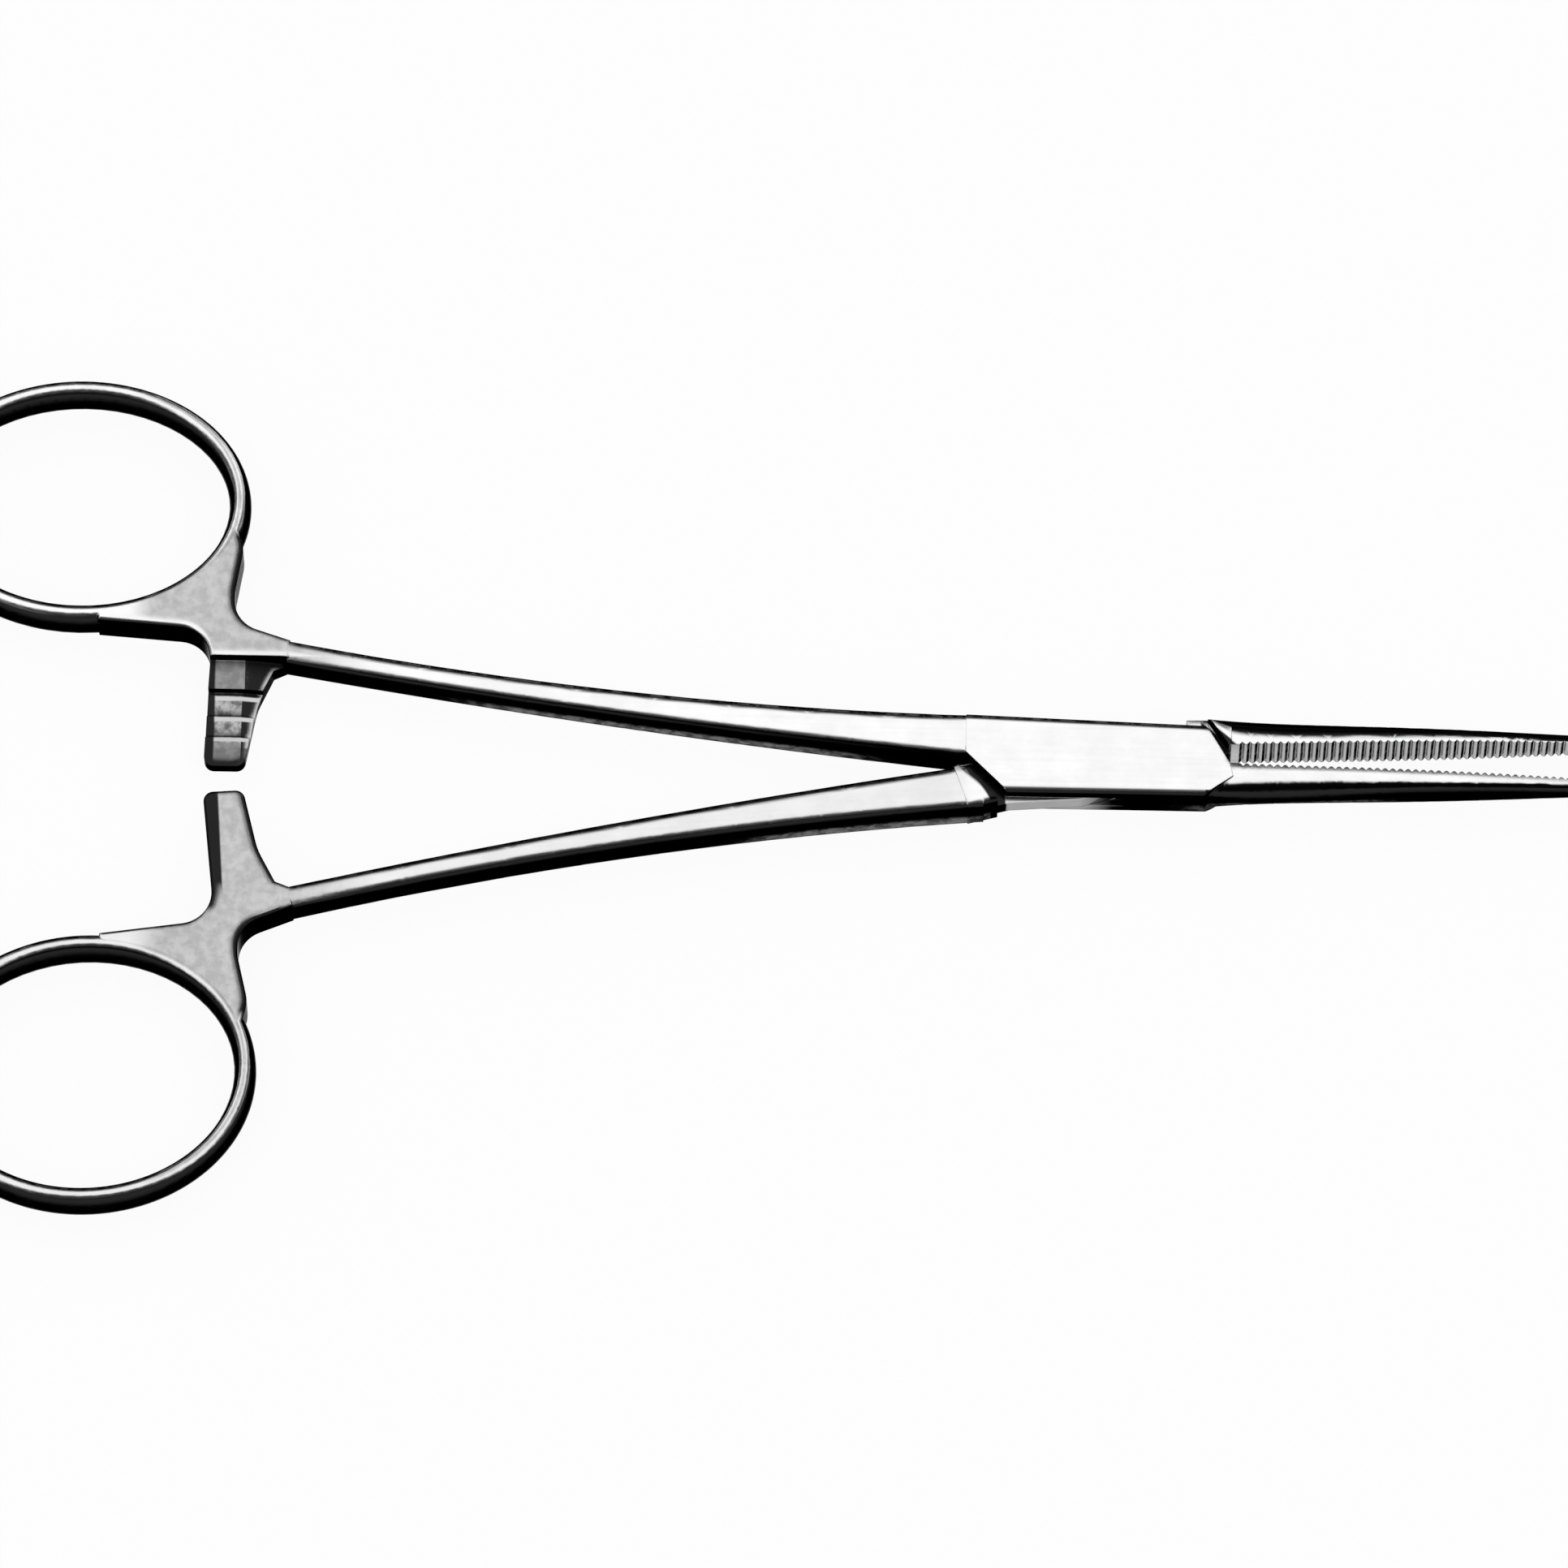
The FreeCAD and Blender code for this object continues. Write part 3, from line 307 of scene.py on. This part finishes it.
def painted_edge_bands(graph, surface, tone, speckle, female):
    """Painted shade in bands along the rounded edges of the web and bar, a painted highlight beside the
    web's near edges, and thin painted dark lines along the far edges.
    """
    outward = graph.math("MAXIMUM", surface.edge_x, graph.times(surface.facing_x, 0.75))
    right = graph.ramp(outward, 0.1, 0.25)
    if female:
        on_bar = graph.fall(surface.y, FEMALE_WEB_EDGE - 0.1, FEMALE_WEB_EDGE + 0.1)
        off_bar = graph.math("SUBTRACT", 1.0, on_bar)
        left = graph.times(graph.fall(surface.x, *FEMALE_BAND), on_bar)
        right = graph.times(right, off_bar)
        # Painted highlight: a bright band beside the web's near edges
        near = graph.fall(surface.edge_y, -0.25, -0.1)
        tone = graph.mix(graph.times(near, off_bar, graph.ramp(surface.up, 0.5, 0.8)), tone, BRIGHT)
    else:
        curve = graph.times(graph.fall(surface.edge_x, -0.14, -0.03), graph.ramp(surface.y, *MALE_CURVE))
        bar = graph.times(graph.fall(surface.x, *MALE_BAND), graph.ramp(surface.y, *MALE_BAR))
        left = graph.math("MAXIMUM", curve, bar)
    right = graph.times(right, graph.fall(graph.math("ABSOLUTE", surface.y), *BAND_REACH))
    zone = graph.between(surface.x, BAR_LEFT, SHANK_JOIN, 0.3)
    tone = graph.mix(graph.times(graph.math("MAXIMUM", left, right), zone), tone, PAINTED_SHADE)

    line = graph.times(EDGE_LINE_PAINTED_SHADE, graph.ramp(speckle, 0.4, 0.6, 0.4, 2.4))
    off_ring = graph.ramp(surface.x, *RING_END)
    start = graph.mix(graph.ramp(surface.x, *JAW_ROOT), 0.3, 0.15) if female else 0.3
    past = graph.ramp(graph.math("SUBTRACT", surface.edge_y, start), 0.0, 0.2)
    off_pin = graph.ramp(surface.from_pin_squared, *LINES_FROM_PIN)
    tone = graph.mix(graph.times(past, off_ring, off_pin), tone, line)
    ring_edge = graph.times(graph.ramp(surface.facing_y, 0.4, 0.6), graph.math("SUBTRACT", 1.0, off_ring))
    return graph.mix(ring_edge, tone, line)


# Painted shade and highlights on the shelf and teeth of the box half
MIDDLE = 2.85
SHELF_SPAN = (-83.5, -74.5)
SHELF_DEPTH = (1.6, 1.8)
PLAIN_END = (0.3, 0.6)
FIRST_CREST = 1.4
TOOTH_PITCH = 2.0
TEETH_END = 5.7
CREST_SHARE = (0.80, 0.97)


def painted_teeth_tone(graph, surface, tone, speckle):
    """Shelf and teeth of the box half: painted highlights on the crests, painted shade on the shelf, in the
    valleys and on a black slope, with a painted highlight on its rim.
    """
    from_middle = graph.math("ABSOLUTE", graph.math("SUBTRACT", surface.z, MIDDLE))
    along = graph.between(surface.x, *SHELF_SPAN, 0.1)
    zone = graph.times(along, graph.ramp(surface.up, *LEVEL), graph.fall(from_middle, *SHELF_DEPTH))

    steps = graph.math("DIVIDE", graph.math("SUBTRACT", surface.y, FIRST_CREST), TOOTH_PITCH)
    tooth = graph.math("FRACT", steps)
    row = graph.between(surface.y, FIRST_CREST - 0.5, TEETH_END, 0.05)
    rise = graph.ramp(tooth, 0.0, 0.6, VALLEY_PAINTED_SHADE, SLOPE_PAINTED_SHADE)
    rise = graph.times(rise, graph.ramp(speckle, 0.35, 0.65, 0.5, 1.2))
    flat = graph.times(graph.mix(row, SHELF_PAINTED_SHADE, rise), graph.ramp(speckle, 0.35, 0.65, 0.85, 1.15))
    bar = graph.mix(graph.ramp(surface.facing_x, 0.08, 0.14), flat, PAINTED_SHADE)
    bar = graph.mix(graph.times(graph.between(tooth, *CREST_SHARE, 0.03), row), bar, CREST_PAINTED_HIGHLIGHT)
    bar = graph.mix(graph.ramp(surface.edge_x, 0.42, 0.55), bar, CREST_PAINTED_HIGHLIGHT)

    # Painted shade at the plain end of the bar and along its left edge
    end = graph.times(graph.fall(surface.edge_y, -0.3, -0.1), graph.fall(surface.y, *PLAIN_END))
    left = graph.fall(surface.x, *FEMALE_BAND)
    bar = graph.mix(graph.math("MAXIMUM", end, left), bar, PAINTED_SHADE)
    return graph.mix(zone, tone, bar)


# Painted light on the tongue's side below the box, which turns to painted shade along the lock
TONGUE_SPAN = (-8.9, 2.5)
TONGUE_FRONT = (-2.9, -2.7)
TONGUE_FOOT = (0.2, 0.5)
TONGUE_TOP_FEMALE = (1.8, 2.0)
TONGUE_TOP_MALE = (3.9, 4.1)
TONGUE_FADE = (-2.5, 2.0)

# Painted black shade in the gaps at the lock's two slanting steps: each one's slant, place across it and
# stretch
REAR_SLANT = (0.873, 0.488)
REAR_PLACE = (-10.9, -10.7)
REAR_SPAN = (-14.0, -8.95)
FRONT_SLANT = (0.947, 1.0)
FRONT_PLACE = (12.2, 12.45)
FRONT_SPAN = (9.3, 12.7)
FRONT_FOOT = (1.0, 1.2)


def across_slant(graph, surface, slant):
    """Place measured across a line that slants over the lock."""
    return graph.math("ADD", graph.times(surface.x, slant[0]), graph.times(surface.y, slant[1]))


def painted_lock_tone(graph, surface, tone, female):
    """Painted black shade in the gaps at the steps of the lock, and painted light on the side of the tongue
    under the box, which turns to painted shade along the lock.
    """
    side = graph.times(
        graph.between(surface.x, *TONGUE_SPAN, 0.15),
        graph.fall(surface.y, *TONGUE_FRONT),
        graph.ramp(surface.z, *TONGUE_FOOT),
        graph.fall(surface.z, *(TONGUE_TOP_FEMALE if female else TONGUE_TOP_MALE)),
    )
    tone = graph.mix(side, tone, graph.ramp(surface.x, *TONGUE_FADE, TONGUE_SIDE_PAINTED_LIGHT, PAINTED_SHADE))
    if female:
        return tone
    rear = graph.times(
        graph.ramp(across_slant(graph, surface, REAR_SLANT), *REAR_PLACE),
        graph.between(surface.x, *REAR_SPAN, 0.1),
    )
    front = graph.times(
        graph.fall(across_slant(graph, surface, FRONT_SLANT), *FRONT_PLACE),
        graph.between(surface.x, *FRONT_SPAN, 0.08),
        graph.ramp(surface.z, *FRONT_FOOT),
    )
    return graph.mix(front, graph.mix(rear, tone, PAINTED_SHADE), PAINTED_SHADE)


def painted_back_shade(graph, surface, tone, clouds):
    """Painted shade: upright sides that look away from the viewer are a plain grey, varied by the clouds."""
    away = graph.times(graph.ramp(surface.facing_y, 0.3, 0.7), graph.fall(surface.up, 0.2, 0.32))
    return graph.mix(away, tone, graph.times(BACK_SIDE_PAINTED_SHADE, graph.ramp(clouds, 0.3, 0.7, 0.85, 1.15)))


# Jaws
JAW_START = (9.4, 9.6)
FLANK_HEIGHTS = (2.4, 3.0)
GROOVES_START = (11.5, 11.8)


def painted_jaw_shade(graph, surface, tone, speckle, clouds, face_side):
    """Painted shade on the back of the upper jaw and the flank of the lower jaw, and the grooved faces with
    painted shade in the grooves.
    """
    on_jaw = graph.ramp(surface.x, *JAW_START)
    if face_side < 0:
        turned = graph.math("MAXIMUM", surface.edge_y, surface.facing_y)
        tone = graph.mix(graph.times(on_jaw, graph.ramp(turned, 0.12, 0.28)), tone, PAINTED_SHADE)
        tone = painted_back_shade(graph, surface, tone, clouds)
    else:
        flank = graph.times(graph.fall(surface.facing_y, -0.6, -0.48), graph.ramp(surface.z, *FLANK_HEIGHTS))
        tone = graph.mix(graph.times(on_jaw, flank), tone, PAINTED_SHADE)
    looks = graph.ramp(graph.times(surface.facing_y, face_side), 0.3, 0.5)
    groove = graph.times(GROOVE_PAINTED_SHADE, graph.ramp(speckle, 0.4, 0.6, 0.35, 2.0))
    face = graph.mix(graph.ramp(surface.facing_x, 0.2, 0.4), JAW_FACE, groove)
    return graph.mix(graph.times(looks, graph.ramp(surface.x, *GROOVES_START)), tone, face)


# Finish: the brushing's range of roughness, what the ground web adds to it, and the relief in metres
SATIN = (0.15, 0.24)
GROUND_ROUGHER = 0.25
RELIEF_STRENGTH = 0.04
RELIEF_HEIGHT = 0.00002

# Grey of the tongue half's shank turning bright at the lock
SHANK_FADE = (-14, -11)


def steel(name, turn, face_side):
    """Satin polished steel, duller on the ratchet. face_side is the way that the jaw's face looks."""
    material, graph, shader = new_material(name)
    surface = Surface(graph, face_side)
    brushing, clouds, speckle = brushed(graph, surface, turn)
    female = face_side > 0
    ground = 0.0

    polished = BRIGHT if female else graph.ramp(surface.x, *SHANK_FADE, SHANK_GREY, BRIGHT)
    # Steep faces get the painted shade of the sides instead of the polished tone
    painted_sides = painted_side_tone(graph, surface, speckle, female)
    tone = graph.mix(graph.ramp(surface.up, 0.58, 0.74), painted_sides, polished)
    if name != "pin_steel":
        ground = ground_mask(graph, surface)
        tone = graph.mix(ground, tone, graph.times(GROUND, graph.ramp(speckle, 0.3, 0.7, 0.88, 1.12)))
        tone = painted_edge_bands(graph, surface, tone, speckle, female)
        if female:
            tone = painted_teeth_tone(graph, surface, tone, speckle)
        tone = painted_lock_tone(graph, surface, tone, female)
        tone = painted_back_shade(graph, surface, tone, clouds)
        tone = painted_jaw_shade(graph, surface, tone, speckle, clouds, face_side)
    wear = graph.ramp(clouds, 0.3, 0.7, 0.95, 1.03)
    tone = graph.times(tone, wear, graph.ramp(brushing, 0.2, 0.8, 0.96, 1.02))

    colour = graph.add("ShaderNodeCombineColor", None, {0: tone, 1: tone, 2: tone})
    duller = graph.times(ground, GROUND_ROUGHER)
    graph.feed(shader.inputs["Base Color"], colour.outputs[0])
    graph.feed(shader.inputs["Roughness"], graph.math("ADD", graph.ramp(brushing, 0.2, 0.8, *SATIN), duller))
    shader.inputs["Metallic"].default_value = 1.0
    shader.inputs["Specular Tint"].default_value = EDGE_TINT

    # Worn edges, other than around the pin, which is ground flush
    off_pin = graph.ramp(surface.from_pin_squared, *WEAR_FROM_PIN)
    edge = graph.add("ShaderNodeBevel", {"samples": 6}, {"Radius": graph.times(off_pin, EDGE_RADIUS)})
    relief = {"Strength": RELIEF_STRENGTH, "Distance": RELIEF_HEIGHT, "Height": brushing}
    bump = graph.add("ShaderNodeBump", None, {**relief, "Normal": edge.outputs[0]})
    graph.feed(shader.inputs["Normal"], bump.outputs[0])
    return material


def dress_steel():
    """Give each piece its steel."""
    for node, material_name, turn, face_side in (
        ("female_half", "female_steel", math.radians(4), 1.0),
        ("male_half", "male_steel", math.radians(-4), -1.0),
        ("pivot_pin", "pin_steel", 0.0, 1.0),
    ):
        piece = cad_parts[node]
        material = steel(material_name, turn, face_side)
        for slot in piece.material_slots:
            slot.material = material


make_camera()
make_floor()
make_light()
dress_steel()

bpy.context.scene.view_settings.view_transform = "Standard"
